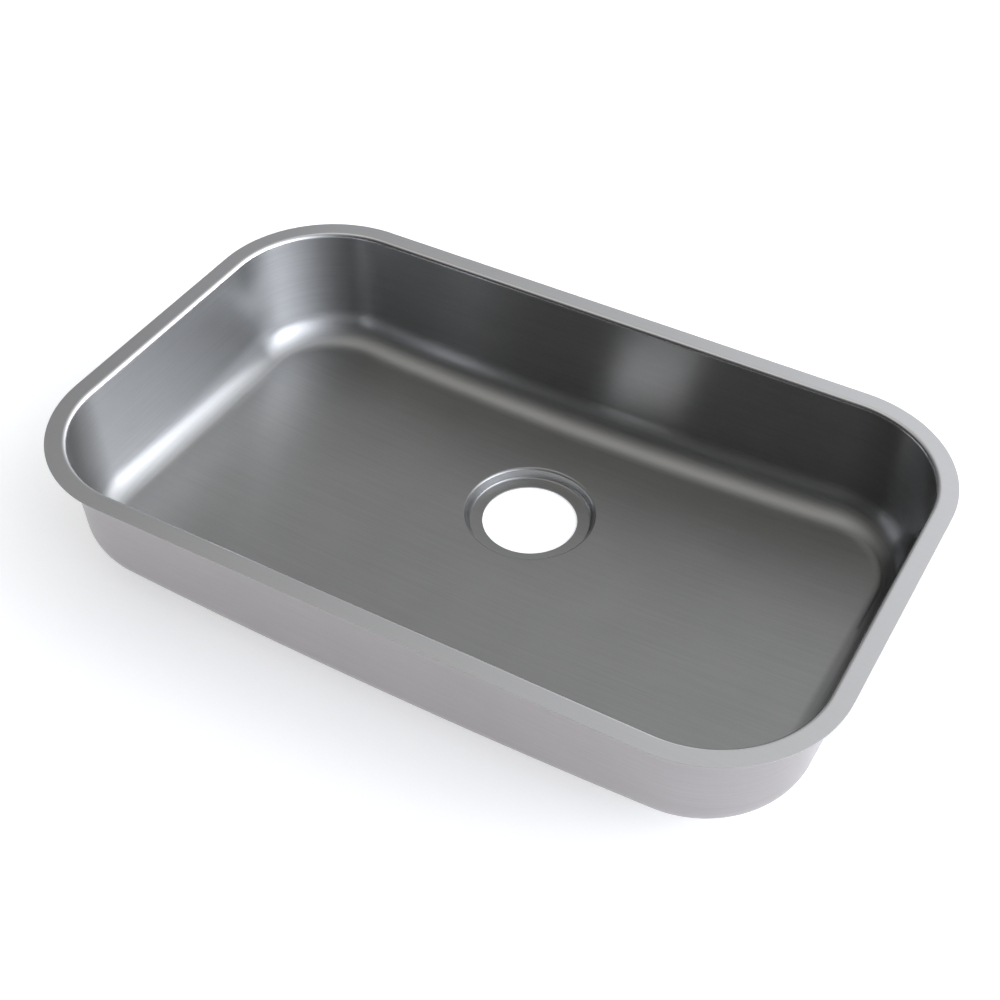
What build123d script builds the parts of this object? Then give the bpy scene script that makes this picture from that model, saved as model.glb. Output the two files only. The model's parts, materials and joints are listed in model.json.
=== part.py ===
from build123d import *
import math
import os

# A shallow undermount kitchen sink: one bowl pressed from stainless sheet, with rubber damping pads
# stuck under its floor. Millimetres, +Z up, X along the sink, its front at -Y. The origin is under
# the middle of the flange, on the plane of the sink's lowest face.

# The sheet, and the flange that goes up against the underside of the worktop
sheet = 1.2
overall_length = 740.0
overall_width = 460.0
flange_width = 18.5

# The bowl. A bend's radius is that of its inner side, so both faces of the sheet share its centre
bowl_depth = 131.5
opening_corner = 99.0
wall_draft = 3.2
lip_bend = 1.8
cove_bend = 33.5

# The floor, a very flat dish that falls to the drain from all sides
dish_radius = 4000.0
drain_behind_centre = 65.5

# The step down to the ledge that a strainer's flange beds on, and the hole in the ledge
recess_depth = 9.5
recess_foot_radius = 58.0
recess_draft = 15.0
recess_rim_bend = 1.8
recess_foot_bend = 2.5
drain_hole_radius = 45.0

# The damping pads
pad_thickness = 3.0
glue_film = 0.3
pad_corner = 12.0
end_pad_length = 190.0
pad_to_cove = 20.0
pad_to_pad = 20.0
pad_to_recess = 20.0

# Levels and places that follow from them
ledge_top = sheet
floor_at_drain = ledge_top + recess_depth
flange_top = floor_at_drain + bowl_depth
draft_per_side = bowl_depth * math.tan(math.radians(wall_draft))
floor_edge_x = overall_length / 2 - flange_width - draft_per_side - cove_bend
floor_edge_y = overall_width / 2 - flange_width - draft_per_side - cove_bend
recess_rim_radius = recess_foot_radius + recess_depth * math.tan(math.radians(recess_draft))
pad_edge_x = floor_edge_x - pad_to_cove
pad_edge_y = floor_edge_y - pad_to_cove


def flange_outline():
    """The flange's outer edge, whose corners share their centres with the opening's."""
    return RectangleRounded(overall_length, overall_width, opening_corner + flange_width)


def outer_bend(bend, grow):
    """The radius of a bend whose centre is under the sheet, on the face that lies grow below the water side."""
    return bend + sheet - grow


def inner_bend(bend, grow):
    """The radius of a bend whose centre is above the sheet, on the same face."""
    return bend + grow


def space_between_walls(grow):
    """What the drafted walls and their corners enclose, down past the floor."""
    top = flange_top + sheet - grow
    lean = math.radians(wall_draft)
    reach = grow / math.cos(lean) + (sheet - grow) * math.tan(lean) - flange_width
    outline = RectangleRounded(
        overall_length + 2 * reach,
        overall_width + 2 * reach,
        opening_corner + flange_width + reach,
    )
    return extrude(Pos(0, 0, top) * outline, amount=top + sheet, dir=(0, 0, -1), taper=wall_draft)


def ball_over_floor(grow):
    """A ball whose lowest cap is the dished floor. It lies on its side, so its poles and seam stay off the cap."""
    centre = Pos(0, drain_behind_centre, floor_at_drain + dish_radius)
    return centre * Rot(90, 0, 0) * Sphere(dish_radius + grow)


def recess_space(grow):
    """The round step down to the ledge, from the ledge up past the floor."""
    lean = math.radians(recess_draft)
    foot = recess_foot_radius + grow / math.cos(lean) - grow * math.tan(lean)
    mouth = foot + bowl_depth * math.tan(lean)
    cone = Cone(foot, mouth, bowl_depth, align=(Align.CENTER, Align.CENTER, Align.MIN))
    return Pos(0, drain_behind_centre, ledge_top - grow) * cone


def space_over(grow):
    """All the space over one face of the pressing: the water side at 0, the underside at the sheet's thickness.

    Both faces come from here, so the wall, the bends and the step keep the sheet's thickness all over.
    """
    space = space_between_walls(grow) & ball_over_floor(grow)
    floor = space.faces().filter_by(GeomType.SPHERE)[0]
    space = fillet(floor.edges(), inner_bend(cove_bend, grow))

    space += Pos(0, 0, flange_top - grow) * extrude(flange_outline(), amount=sheet)
    flange_face = space.faces().filter_by(Plane.XY).sort_by(Axis.Z)[-2]
    space = fillet(flange_face.inner_wires()[0].edges(), outer_bend(lip_bend, grow))

    space += recess_space(grow)
    floor = space.faces().filter_by(GeomType.SPHERE)[0]
    space = fillet(floor.inner_wires()[0].edges(), outer_bend(recess_rim_bend, grow))
    ledge = space.faces().filter_by(Plane.XY).sort_by(Axis.Z)[0]
    return fillet(ledge.edges(), inner_bend(recess_foot_bend, grow))


def sink_bowl():
    """The pressing: flange, lip, walls, cove, dished floor and stepped drain recess in one sheet."""
    drain_hole = Pos(0, drain_behind_centre, ledge_top) * Cylinder(drain_hole_radius, floor_at_drain)
    return space_over(sheet) - space_over(0) - drain_hole


def damping_pad(low_x, high_x, low_y, high_y):
    """A flat rubber pad cut to a rounded rectangle, bent to the underside of the dished floor."""
    middle = ((low_x + high_x) / 2, (low_y + high_y) / 2)
    outline = Pos(*middle) * RectangleRounded(high_x - low_x, high_y - low_y, pad_corner)
    column = extrude(outline, amount=flange_top)
    bedded = sheet + glue_film
    return column & (ball_over_floor(bedded + pad_thickness) - ball_over_floor(bedded))


def damping_pads():
    """One pad under each end of the floor and one between them, in front of the drain."""
    inner_x = pad_edge_x - end_pad_length
    front_x = inner_x - pad_to_pad
    front_high_y = drain_behind_centre - recess_rim_radius - pad_to_recess
    return {
        "left_damping_pad": damping_pad(-pad_edge_x, -inner_x, -pad_edge_y, pad_edge_y),
        "right_damping_pad": damping_pad(inner_x, pad_edge_x, -pad_edge_y, pad_edge_y),
        "front_damping_pad": damping_pad(-front_x, front_x, -pad_edge_y, front_high_y),
    }


def main():
    os.makedirs("parts", exist_ok=True)
    pieces = {"sink_bowl": sink_bowl(), **damping_pads()}
    for name, piece in pieces.items():
        export_step(piece, f"parts/{name}.step")


main()
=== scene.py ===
import json
import math

import bmesh
import bpy
from mathutils import Matrix, Vector


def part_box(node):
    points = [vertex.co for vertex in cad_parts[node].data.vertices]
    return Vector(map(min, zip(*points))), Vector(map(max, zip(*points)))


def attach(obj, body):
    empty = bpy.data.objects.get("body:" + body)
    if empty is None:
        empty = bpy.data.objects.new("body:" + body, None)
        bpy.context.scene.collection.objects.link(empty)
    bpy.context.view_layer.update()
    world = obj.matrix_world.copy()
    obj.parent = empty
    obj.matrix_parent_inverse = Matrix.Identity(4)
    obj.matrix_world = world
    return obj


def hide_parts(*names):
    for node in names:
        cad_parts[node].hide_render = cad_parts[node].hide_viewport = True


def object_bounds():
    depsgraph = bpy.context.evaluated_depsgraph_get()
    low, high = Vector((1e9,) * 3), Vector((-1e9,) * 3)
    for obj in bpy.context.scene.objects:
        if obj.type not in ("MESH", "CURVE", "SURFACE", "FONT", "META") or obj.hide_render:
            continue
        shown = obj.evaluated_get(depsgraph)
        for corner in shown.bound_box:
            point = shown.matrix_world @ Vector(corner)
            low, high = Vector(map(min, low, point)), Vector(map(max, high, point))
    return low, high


# The looks of an undermount kitchen sink: one bowl pressed from stainless sheet, with three rubber
# damping pads under its floor. Metres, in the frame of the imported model.

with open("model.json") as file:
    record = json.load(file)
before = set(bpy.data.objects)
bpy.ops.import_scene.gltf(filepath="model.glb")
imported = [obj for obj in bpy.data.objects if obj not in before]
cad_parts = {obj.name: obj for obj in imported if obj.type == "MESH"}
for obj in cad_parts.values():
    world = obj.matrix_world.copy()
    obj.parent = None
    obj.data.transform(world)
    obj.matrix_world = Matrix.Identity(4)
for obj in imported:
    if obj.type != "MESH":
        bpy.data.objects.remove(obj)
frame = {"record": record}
cad_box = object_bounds()
mounts = {mount["name"]: mount for mount in frame["record"]["mounts"]}

# The pressing, as it stands in the frame
bowl_low, bowl_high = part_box("sink_bowl")
flange_top = bowl_high.z
half_length = bowl_high.x
half_width = bowl_high.y
drain = Vector(mounts["drain_hole"]["pos_m"])
drain_radius = mounts["drain_hole"]["dims"]["r_mm"] / 1000
ledge_top = mounts["strainer_seat"]["pos_m"][2]

# The pressing's own sizes. A bend's radius is that of the water side
sheet = 0.0012
flange_width = 0.0185
opening_corner = 0.099
wall_draft = math.radians(3.2)
lip_bend = 0.004
cove_bend = 0.0335
dish_radius = 4.0
recess_depth = 0.0095
recess_foot_radius = 0.058
recess_draft = math.radians(15)
recess_rim_bend = 0.003
recess_foot_bend = 0.0025
cut_edge_rounding = 0.00015

# What follows from them
corner_x = half_length - flange_width - opening_corner
corner_y = half_width - flange_width - opening_corner
flange_reach = opening_corner + flange_width
lip_foot = flange_top - lip_bend * (1 - math.sin(wall_draft))
dish_centre = Vector((0, drain.y, ledge_top + recess_depth + dish_radius))

# How finely the pressing is divided: round its outline, and from ring to ring
corner_steps = 32
long_side_steps = 66
short_side_steps = 30
lip_steps = 10
wall_steps = 12
cove_steps = 18
floor_steps = 26
recess_bend_steps = 8

# The damping pads
pad_thickness = 0.003
pad_corner = 0.012
pad_edge_rounding = 0.0004
glue_film = 0.0003
pad_corner_steps = 10
pad_cell = 0.008

# The studio. Each soft light shines from its azimuth and elevation, in degrees. Its spread says how
# broad it is: a light of spread 0.08 has faded to half at 19 degrees, and one of 0.46 at 47 degrees
soft_lights = [
    {"azimuth": 5, "elevation": 4, "spread": 0.21, "strength": 6.3, "colour": (0.93, 0.98, 1.09)},
    {"azimuth": 50, "elevation": 0, "spread": 0.46, "strength": 2.3, "colour": (0.98, 1.0, 1.02)},
    {"azimuth": 180, "elevation": 73, "spread": 0.08, "strength": 0.75, "colour": (1.03, 1.01, 0.96)},
]
tent_radius = 20
floor_half_length = 4
floor_drop = 0.0002
floor_glow = 0.48


# ---------- the pressing ----------

def corner_centre(point):
    """The nearest point of the rectangle that joins the centres of the four rounded corners."""
    return Vector((
        max(-corner_x, min(corner_x, point.x)),
        max(-corner_y, min(corner_y, point.y)),
        0,
    ))


def outwards(point):
    """The level direction in which the flange and wall face, at this point of the outline."""
    way = Vector((point.x, point.y, 0)) - corner_centre(point)
    return way.normalized()


def at_reach(point, reach, height):
    """The point this far out from its corner centre, at this height."""
    place = corner_centre(point) + outwards(point) * reach
    place.z = height
    return place


def wall_reach(height):
    """How far the drafted wall stands out from the corner centres at this height."""
    return opening_corner - (flange_top - height) * math.tan(wall_draft)


def dish_height(point):
    """The height of the dished floor at this point."""
    aside = (point.x - dish_centre.x) ** 2 + (point.y - dish_centre.y) ** 2
    return dish_centre.z - math.sqrt(dish_radius ** 2 - aside)


def around_drain(point, radius, height):
    """The point at this radius about the drain's axis, at this height."""
    way = Vector((point.x - drain.x, point.y - drain.y, 0)).normalized()
    return Vector((drain.x, drain.y, height)) + way * radius


def lower_root(a, b, c):
    """The lower height that solves a h^2 + 2 b h + c = 0."""
    return (-b - math.sqrt(b * b - a * c)) / a


def cove_centre(point):
    """The centre of a ball that rests on the dished floor and against the wall, at this point."""
    way = outwards(point)
    lean = math.tan(wall_draft)
    start = corner_centre(point) + way * (
        opening_corner - flange_top * lean - cove_bend / math.cos(wall_draft)
    )
    aside = start - Vector((dish_centre.x, dish_centre.y, 0))
    height = lower_root(
        1 + lean * lean,
        aside.dot(way) * lean - dish_centre.z,
        aside.dot(aside) + dish_centre.z ** 2 - (dish_radius - cove_bend) ** 2,
    )
    centre = start + way * (lean * height)
    centre.z = height
    return centre


def next_ring(mesh, ring, place):
    """Extrudes the open ring of edges and sends each new corner to its place."""
    grown = bmesh.ops.extrude_edge_only(mesh, edges=ring)["geom"]
    corners = {item for item in grown if isinstance(item, bmesh.types.BMVert)}
    for corner in corners:
        corner.co = place(corner.co.copy())
    return [
        item for item in grown
        if isinstance(item, bmesh.types.BMEdge) and set(item.verts) <= corners
    ]


def edges_this_long(mesh, length):
    return [edge for edge in mesh.edges if math.isclose(edge.calc_length(), length, rel_tol=0.01)]


def flange_outline(mesh):
    """The flange's outer edge: a rounded rectangle, divided evenly."""
    bmesh.ops.create_grid(mesh, x_segments=1, y_segments=1, size=1)
    bmesh.ops.scale(mesh, vec=(half_length, half_width, 1), verts=mesh.verts)
    bmesh.ops.translate(mesh, vec=(0, 0, flange_top), verts=mesh.verts)
    bmesh.ops.bevel(
        mesh, geom=mesh.verts[:], offset=flange_reach, offset_type="OFFSET",
        segments=corner_steps, profile=0.5, affect="VERTICES", material=-1,
    )
    long_sides = edges_this_long(mesh, 2 * corner_x)
    short_sides = edges_this_long(mesh, 2 * corner_y)
    bmesh.ops.delete(mesh, geom=mesh.faces[:], context="FACES_ONLY")
    bmesh.ops.subdivide_edges(mesh, edges=long_sides, cuts=long_side_steps - 1)
    bmesh.ops.subdivide_edges(mesh, edges=short_sides, cuts=short_side_steps - 1)
    for corner in mesh.verts:
        corner.co = at_reach(corner.co, flange_reach, flange_top)
    return mesh.edges[:]


def flange_and_lip(mesh, ring):
    """The flat flange, with a ring close to each of its edges, and the bend over its inner edge."""
    lean = 1 / math.cos(wall_draft) - math.tan(wall_draft)
    bend_reach = opening_corner + lip_bend * lean
    for share in (0.04, 0.5, 0.96, 1):
        reach = flange_reach + (bend_reach - flange_reach) * share
        ring = next_ring(mesh, ring, lambda p: at_reach(p, reach, flange_top))
    for step in range(1, lip_steps + 1):
        angle = step / lip_steps * (math.pi / 2 - wall_draft)
        reach = bend_reach - lip_bend * math.sin(angle)
        height = flange_top - lip_bend * (1 - math.cos(angle))
        ring = next_ring(mesh, ring, lambda p: at_reach(p, reach, height))
    return ring


def wall(mesh, ring):
    """The drafted wall, from the lip down to where the cove begins."""
    for step in range(1, wall_steps + 1):
        share = step / wall_steps

        def place(point):
            wall_foot = cove_centre(point).z - cove_bend * math.sin(wall_draft)
            height = lip_foot + (wall_foot - lip_foot) * share
            return at_reach(point, wall_reach(height), height)

        ring = next_ring(mesh, ring, place)
    return ring


def cove(mesh, ring):
    """The rolled cove between the wall and the dished floor."""
    for step in range(1, cove_steps + 1):
        share = step / cove_steps

        def place(point):
            centre = cove_centre(point)
            from_wall = outwards(point) * math.cos(wall_draft)
            from_wall.z = -math.sin(wall_draft)
            to_floor = (centre - dish_centre).normalized()
            return centre + from_wall.slerp(to_floor, share) * cove_bend

        ring = next_ring(mesh, ring, place)
    return ring


def recess_rim_centre():
    """Radius and height of the centre of the bend from the floor down into the recess."""
    lean = math.tan(recess_draft)
    start = recess_foot_radius - ledge_top * lean + recess_rim_bend / math.cos(recess_draft)
    height = lower_root(
        1 + lean * lean,
        start * lean - dish_centre.z,
        start ** 2 + dish_centre.z ** 2 - (dish_radius + recess_rim_bend) ** 2,
    )
    return start + lean * height, height


def floor(mesh, ring):
    """The dished floor, in to the edge of the drain recess."""
    bend_radius, bend_height = recess_rim_centre()
    towards_dish = math.atan2(dish_centre.z - bend_height, bend_radius)
    edge_radius = bend_radius - recess_rim_bend * math.cos(towards_dish)
    for step in range(1, floor_steps + 1):
        steps_left = floor_steps + 1 - step

        def place(point):
            radius = (point - drain).xy.length
            moved = around_drain(point, radius + (edge_radius - radius) / steps_left, 0)
            moved.z = dish_height(moved)
            return moved

        ring = next_ring(mesh, ring, place)
    return ring


def drain_recess(mesh, ring):
    """The rim's bend, the conical step, its foot and the ledge round the drain hole."""
    bend_radius, bend_height = recess_rim_centre()
    first = math.atan2(dish_centre.z - bend_height, bend_radius)
    for step in range(1, recess_bend_steps + 1):
        angle = first + (recess_draft - first) * step / recess_bend_steps
        radius = bend_radius - recess_rim_bend * math.cos(angle)
        height = bend_height + recess_rim_bend * math.sin(angle)
        ring = next_ring(mesh, ring, lambda p: around_drain(p, radius, height))
    foot_height = ledge_top + recess_foot_bend
    lean = math.tan(recess_draft) - 1 / math.cos(recess_draft)
    foot_radius = recess_foot_radius + recess_foot_bend * lean
    for step in range(recess_bend_steps + 1):
        angle = recess_draft + (math.pi / 2 - recess_draft) * step / recess_bend_steps
        radius = foot_radius + recess_foot_bend * math.cos(angle)
        height = foot_height - recess_foot_bend * math.sin(angle)
        ring = next_ring(mesh, ring, lambda p: around_drain(p, radius, height))
    for share in (0.1, 0.9, 1):
        radius = foot_radius + (drain_radius - foot_radius) * share
        ring = next_ring(mesh, ring, lambda p: around_drain(p, radius, ledge_top))


def make_faces_look_up(mesh):
    """Turns the whole sheet over if its levellest face looks down."""
    mesh.normal_update()
    levellest = max(mesh.faces, key=lambda face: abs(face.normal.z))
    if levellest.normal.z < 0:
        bmesh.ops.reverse_faces(mesh, faces=mesh.faces)


def finished(mesh, name, materials, node):
    """Makes the mesh an object that rides on the sink in place of its CAD node."""
    data = bpy.data.meshes.new(name)
    mesh.to_mesh(data)
    mesh.free()
    for material in materials:
        data.materials.append(material)
    data.shade_smooth()
    piece = bpy.data.objects.new(name, data)
    bpy.context.scene.collection.objects.link(piece)
    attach(piece, "root")
    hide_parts(node)
    return piece


def give_thickness(piece, thickness, rounding):
    """A sheet's or a pad's thickness under its upper face, with slightly rounded cut edges."""
    body = piece.modifiers.new("thickness", "SOLIDIFY")
    body.thickness = thickness
    body.offset = -1
    body.use_even_offset = True
    edge = piece.modifiers.new("cut edges", "BEVEL")
    edge.width = rounding
    edge.segments = 3
    edge.limit_method = "ANGLE"
    edge.angle_limit = math.radians(60)
    shading = piece.modifiers.new("shading", "WEIGHTED_NORMAL")
    shading.weight = 100
    return body


def pressed_bowl(brushed, satin, mill):
    """The bowl: brushed inside, satin on the flange and lip, and as it came from the mill outside, with
    each steel's base colour painted as light or shade: darker inside and outside, lighter on the flange
    and lip.
    """
    mesh = bmesh.new()
    ring = flange_outline(mesh)
    ring = flange_and_lip(mesh, ring)
    ring = wall(mesh, ring)
    ring = cove(mesh, ring)
    ring = floor(mesh, ring)
    drain_recess(mesh, ring)
    make_faces_look_up(mesh)
    finishes_and_painted_tones = [brushed, satin, mill]
    # The flange and the lip's bend take the satin steel painted lighter, which paints a highlight along
    # the lip.
    for face in mesh.faces:
        if face.calc_center_median().z > lip_foot:
            face.material_index = finishes_and_painted_tones.index(satin)
    bowl = finished(mesh, "pressed_bowl", finishes_and_painted_tones, "sink_bowl")
    body = give_thickness(bowl, sheet, cut_edge_rounding)
    # The underside and the cut edges take the mill steel painted darker and pink.
    body.material_offset = finishes_and_painted_tones.index(mill)
    body.material_offset_rim = finishes_and_painted_tones.index(mill)


# ---------- the damping pads ----------

def damping_pad(side, material):
    """A pad of rubber sheet that follows the underside of the dished floor."""
    node = f"{side}_damping_pad"
    low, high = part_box(node)
    middle = (low + high) / 2
    half = (high - low) / 2
    upper_radius = dish_radius + sheet + glue_film
    mesh = bmesh.new()
    bmesh.ops.create_grid(mesh, x_segments=1, y_segments=1, size=1)
    bmesh.ops.scale(mesh, vec=(half.x, half.y, 1), verts=mesh.verts)
    bmesh.ops.translate(mesh, vec=(middle.x, middle.y, 0), verts=mesh.verts)
    bmesh.ops.bevel(
        mesh, geom=mesh.verts[:], offset=pad_corner, offset_type="OFFSET",
        segments=pad_corner_steps, profile=0.5, affect="VERTICES", material=-1,
    )
    for axis in (0, 1):
        cells = round(2 * half[axis] / pad_cell)
        across = Vector((axis == 0, axis == 1, 0))
        for cell in range(1, cells):
            cut = across * (low[axis] + (high[axis] - low[axis]) * cell / cells)
            everything = mesh.verts[:] + mesh.edges[:] + mesh.faces[:]
            bmesh.ops.bisect_plane(mesh, geom=everything, plane_co=cut, plane_no=across)
    for vert in mesh.verts:
        aside = (vert.co - dish_centre).xy.length
        vert.co.z = dish_centre.z - math.sqrt(upper_radius ** 2 - aside ** 2)
    make_faces_look_up(mesh)
    pad = finished(mesh, f"{side}_rubber_pad", [material], node)
    give_thickness(pad, pad_thickness, pad_edge_rounding)


# ---------- materials ----------

# Where nearly all of the noise lies, between 0 and 1
noise_span = (0.3, 0.7)


def new_material(name):
    material = bpy.data.materials.new(name)
    material.use_nodes = True
    return material, material.node_tree.nodes, material.node_tree.links


def math_node(nodes, links, operation, *values):
    """A Math node. Each value is a number or the socket that gives it."""
    node = nodes.new("ShaderNodeMath")
    node.operation = operation
    for socket, value in zip(node.inputs, values):
        if isinstance(value, (int, float)):
            socket.default_value = value
        else:
            links.new(value, socket)
    return node.outputs[0]


def map_range(nodes, links, value, low, high, to_low=0, to_high=1):
    """Runs smoothly from one number to another while the value goes from low to high."""
    node = nodes.new("ShaderNodeMapRange")
    node.interpolation_type = "SMOOTHSTEP"
    links.new(value, node.inputs["Value"])
    node.inputs["From Min"].default_value = low
    node.inputs["From Max"].default_value = high
    node.inputs["To Min"].default_value = to_low
    node.inputs["To Max"].default_value = to_high
    return node.outputs[0]


def surface_normal(nodes, links):
    surface = nodes.new("ShaderNodeNewGeometry")
    normal = nodes.new("ShaderNodeSeparateXYZ")
    links.new(surface.outputs["Normal"], normal.inputs[0])
    return normal.outputs


def how_level(nodes, links):
    """1 where the surface is level to within 6 degrees, 0 where it is steeper than 22."""
    lean = math_node(nodes, links, "ABSOLUTE", surface_normal(nodes, links)["Z"])
    return map_range(nodes, links, lean, 0.93, 0.995)


def across_the_brushing(nodes, links):
    """The way in which brushed steel spreads its reflections.

    It runs up the walls, and from front to back elsewhere, turned round where the surface leans back.
    """
    level = how_level(nodes, links)
    leans_back = math_node(nodes, links, "GREATER_THAN", surface_normal(nodes, links)["Y"], 0)
    forth_or_back = math_node(nodes, links, "MULTIPLY_ADD", leans_back, -2, 1)
    way = nodes.new("ShaderNodeCombineXYZ")
    links.new(math_node(nodes, links, "MULTIPLY", level, forth_or_back), way.inputs["Y"])
    links.new(math_node(nodes, links, "SUBTRACT", 1, level), way.inputs["Z"])
    return way.outputs[0]


def noise(nodes, links, grains_per_metre, detail=2):
    """Noise from 0 to 1, with its own number of grains per metre along each axis."""
    place = nodes.new("ShaderNodeTexCoord")
    scaled = nodes.new("ShaderNodeVectorMath")
    scaled.operation = "MULTIPLY"
    scaled.inputs[1].default_value = grains_per_metre
    links.new(place.outputs["Object"], scaled.inputs[0])
    texture = nodes.new("ShaderNodeTexNoise")
    texture.inputs["Scale"].default_value = 1
    texture.inputs["Detail"].default_value = detail
    links.new(scaled.outputs[0], texture.inputs["Vector"])
    return texture.outputs[0]


def blend(nodes, links, share, first, second):
    """The first value where the share is 0, the second where it is 1."""
    node = nodes.new("ShaderNodeMix")
    links.new(share, node.inputs[0])
    links.new(first, node.inputs[2])
    links.new(second, node.inputs[3])
    return node.outputs[0]


def streaks(nodes, links, level, along, across):
    """Streaks along the brushing: round the walls, and from side to side elsewhere.

    Along and across are how many there are in a metre, end to end and side by side.
    """
    on_walls = noise(nodes, links, (along, along, across))
    elsewhere = noise(nodes, links, (along, across, along))
    return blend(nodes, links, level, on_walls, elsewhere)


def two_tones(nodes, links, share, dark, light):
    """A colour between the dark one, where the share is 0, and the light one, where it is 1."""
    node = nodes.new("ShaderNodeMix")
    node.data_type = "RGBA"
    links.new(share, node.inputs[0])
    node.inputs[6].default_value = (*dark, 1)
    node.inputs[7].default_value = (*light, 1)
    return node.outputs[2]


def bump(nodes, links, height, depth):
    """The normal of a skin whose hills stand this deep, in metres."""
    node = nodes.new("ShaderNodeBump")
    node.inputs["Distance"].default_value = depth
    links.new(height, node.inputs["Height"])
    return node.outputs[0]


def steel(name, dark, light, roughness, stretch, grain):
    """Stainless steel with fine lines along the sink, whose grain is the metres from line to line.

    The stretch, from 0 to 1, is how far its reflections spread across the lines rather than along.
    """
    cloud_share = 0.3
    band_share = 0.5
    line_share = 0.2
    wall_polish = 0.02
    unevenness = 30 * grain
    line_depth = grain / 200
    material, nodes, links = new_material(name)
    shader = nodes["Principled BSDF"]
    shader.inputs["Metallic"].default_value = 1
    shader.inputs["Anisotropic"].default_value = stretch
    links.new(across_the_brushing(nodes, links), shader.inputs["Tangent"])
    level = how_level(nodes, links)
    cloud = noise(nodes, links, (14, 14, 14))
    bands = streaks(nodes, links, level, along=9, across=700)
    lines = streaks(nodes, links, level, along=40, across=1 / grain)
    tone = math_node(nodes, links, "MULTIPLY", lines, line_share)
    tone = math_node(nodes, links, "MULTIPLY_ADD", cloud, cloud_share, tone)
    tone = math_node(nodes, links, "MULTIPLY_ADD", bands, band_share, tone)
    tone = map_range(nodes, links, tone, *noise_span)
    links.new(two_tones(nodes, links, tone, dark, light), shader.inputs["Base Color"])
    uneven = map_range(nodes, links, bands, *noise_span, -unevenness, unevenness)
    plain = map_range(nodes, links, level, 0, 1, roughness - wall_polish, roughness)
    links.new(math_node(nodes, links, "ADD", uneven, plain), shader.inputs["Roughness"])
    links.new(bump(nodes, links, lines, line_depth), shader.inputs["Normal"])
    return material


def damping_rubber():
    """Black sheet rubber with a dull, leathery skin."""
    dark = (0.024, 0.024, 0.026)
    light = (0.042, 0.041, 0.042)
    smoothest = 0.6
    roughest = 0.8
    skin_depth = 0.0002
    material, nodes, links = new_material("damping rubber")
    shader = nodes["Principled BSDF"]
    cloud = noise(nodes, links, (60, 60, 60), detail=4)
    skin = noise(nodes, links, (900, 900, 900), detail=3)
    tone = map_range(nodes, links, cloud, *noise_span)
    links.new(two_tones(nodes, links, tone, dark, light), shader.inputs["Base Color"])
    gloss = map_range(nodes, links, skin, *noise_span, smoothest, roughest)
    links.new(gloss, shader.inputs["Roughness"])
    links.new(bump(nodes, links, skin, skin_depth), shader.inputs["Normal"])
    return material


# ---------- the studio ----------

def stage_piece(name, mesh, material):
    """Makes the mesh an object of the studio, which isn't part of the sink."""
    data = bpy.data.meshes.new(name)
    mesh.to_mesh(data)
    mesh.free()
    data.materials.append(material)
    piece = bpy.data.objects.new(name, data)
    bpy.context.scene.collection.objects.link(piece)
    return piece


def pale_floor():
    """A pale floor that looks white but for the sink's shadow, to the camera and in the steel."""
    material, nodes, links = new_material("pale floor")
    shader = nodes["Principled BSDF"]
    shader.inputs["Base Color"].default_value = (0.8, 0.8, 0.8, 1)
    shader.inputs["Roughness"].default_value = 1
    shader.inputs["Emission Color"].default_value = (1, 1, 1, 1)
    ray = nodes.new("ShaderNodeLightPath")
    in_steel_or_glass = math_node(
        nodes, links, "MAXIMUM", ray.outputs["Is Glossy Ray"], ray.outputs["Is Transmission Ray"],
    )
    seen = math_node(nodes, links, "MAXIMUM", ray.outputs["Is Camera Ray"], in_steel_or_glass)
    glow = math_node(nodes, links, "MULTIPLY", seen, floor_glow)
    links.new(glow, shader.inputs["Emission Strength"])
    mesh = bmesh.new()
    bmesh.ops.create_grid(mesh, x_segments=1, y_segments=1, size=floor_half_length)
    bmesh.ops.translate(mesh, vec=(0, 0, cad_box[0].z - floor_drop), verts=mesh.verts)
    stage_piece("floor", mesh, material)


def soft_light(nodes, links, way, light):
    """The glow of one soft light on the tent: full in its own direction, and fading away from it."""
    azimuth = math.radians(light["azimuth"])
    elevation = math.radians(light["elevation"])
    level = math.cos(elevation)
    closeness = nodes.new("ShaderNodeVectorMath")
    closeness.operation = "DOT_PRODUCT"
    closeness.inputs[1].default_value = (
        math.cos(azimuth) * level, math.sin(azimuth) * level, math.sin(elevation)
    )
    links.new(way, closeness.inputs[0])
    away = math_node(nodes, links, "SUBTRACT", closeness.outputs["Value"], 1)
    fade = math_node(nodes, links, "EXPONENT", math_node(nodes, links, "DIVIDE", away, light["spread"]))
    glow = nodes.new("ShaderNodeEmission")
    glow.inputs["Color"].default_value = (*light["colour"], 1)
    links.new(math_node(nodes, links, "MULTIPLY", fade, light["strength"]), glow.inputs["Strength"])
    return glow.outputs[0]


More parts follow.
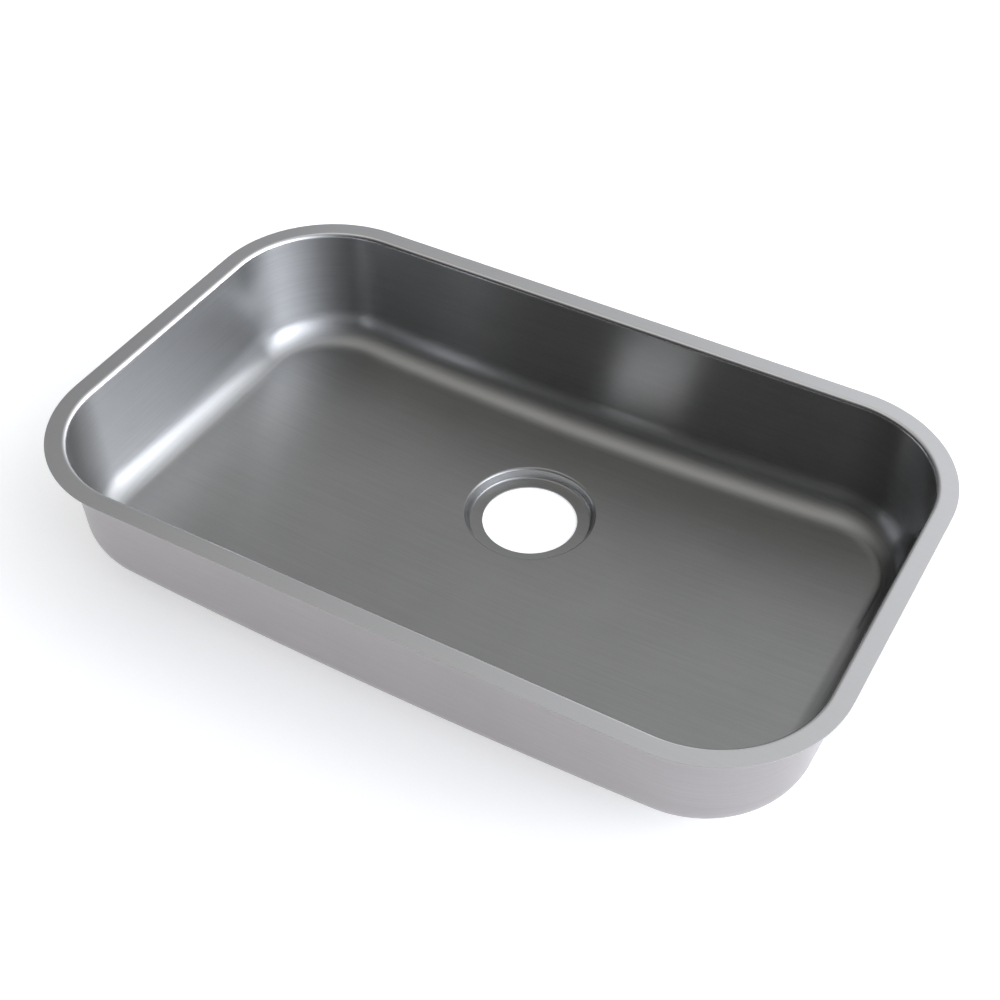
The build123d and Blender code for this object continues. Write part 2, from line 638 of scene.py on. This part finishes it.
def light_tent():
    """A dark tent round the studio with soft lights behind its cloth. The camera doesn't see it."""
    material, nodes, links = new_material("tent cloth")
    nodes.remove(nodes["Principled BSDF"])
    place = nodes.new("ShaderNodeTexCoord")
    way = nodes.new("ShaderNodeVectorMath")
    way.operation = "NORMALIZE"
    links.new(place.outputs["Object"], way.inputs[0])
    glows = [soft_light(nodes, links, way.outputs[0], light) for light in soft_lights]
    cloth = glows[0]
    for glow in glows[1:]:
        both = nodes.new("ShaderNodeAddShader")
        links.new(cloth, both.inputs[0])
        links.new(glow, both.inputs[1])
        cloth = both.outputs[0]
    links.new(cloth, nodes["Material Output"].inputs["Surface"])
    mesh = bmesh.new()
    bmesh.ops.create_icosphere(mesh, subdivisions=4, radius=tent_radius)
    tent = stage_piece("light tent", mesh, material)
    tent.visible_camera = False


def white_surroundings():
    """The plain white that the camera sees past the floor. The tent keeps it off the sink."""
    world = bpy.data.worlds.new("studio")
    bpy.context.scene.world = world
    world.use_nodes = True
    world.node_tree.nodes["Background"].inputs["Color"].default_value = (1, 1, 1, 1)


def photo_camera():
    """A camera where the photograph's stood: a long lens, above and to the right of the front.

    Its place is measured from the middle of the flange, to the camera's right, upwards and back.
    """
    azimuth = math.radians(29.5)
    elevation = math.radians(43.69)
    roll = math.radians(0.21)
    from_flange = Vector((0.00383, -0.04426, 1.41287))
    data = bpy.data.cameras.new("camera")
    data.lens = 58.97
    data.sensor_width = 36
    camera = bpy.data.objects.new("camera", data)
    bpy.context.scene.collection.objects.link(camera)
    camera.matrix_world = (
        Matrix.Translation((0, 0, flange_top))
        @ Matrix.Rotation(azimuth, 4, "Z")
        @ Matrix.Rotation(math.pi / 2 - elevation, 4, "X")
        @ Matrix.Rotation(roll, 4, "Z")
        @ Matrix.Translation(from_flange)
    )
    bpy.context.scene.camera = camera


# ---------- the scene ----------

# The bowl's inside is the same sheet as its flange, with its base colour painted darker: painted shade
# on the walls and floor inside. Its brushing, grain and roughness are its own.
brushed_steel_painted_darker = steel(
    "brushed stainless steel, painted darker", dark=(0.352, 0.352, 0.35), light=(0.392, 0.392, 0.389),
    roughness=0.33, stretch=0.75, grain=0.0004,
)
# The flange and the lip's bend are the same sheet with the base colour painted lighter: a painted
# highlight on the flange and along the lip. Its roughness is its own.
satin_steel_painted_lighter = steel(
    "satin stainless steel, painted lighter", dark=(0.65, 0.645, 0.65), light=(0.67, 0.665, 0.67),
    roughness=0.28, stretch=0.3, grain=0.0001,
)
# The outside is the same sheet with its base colour painted darker and tinted pink: painted shade, and
# a painted tint of the floor it reflects. Its roughness is its own.
mill_steel_painted_darker_pink = steel(
    "mill finish stainless steel, painted darker and pink", dark=(0.352, 0.334, 0.337), light=(0.388, 0.369, 0.372),
    roughness=0.36, stretch=0.3, grain=0.0003,
)
rubber = damping_rubber()
pressed_bowl(brushed_steel_painted_darker, satin_steel_painted_lighter, mill_steel_painted_darker_pink)
for side in ("left", "right", "front"):
    damping_pad(side, rubber)
pale_floor()
white_surroundings()
light_tent()
photo_camera()
bpy.context.scene.view_settings.view_transform = "Standard"

bpy.context.view_layer.update()
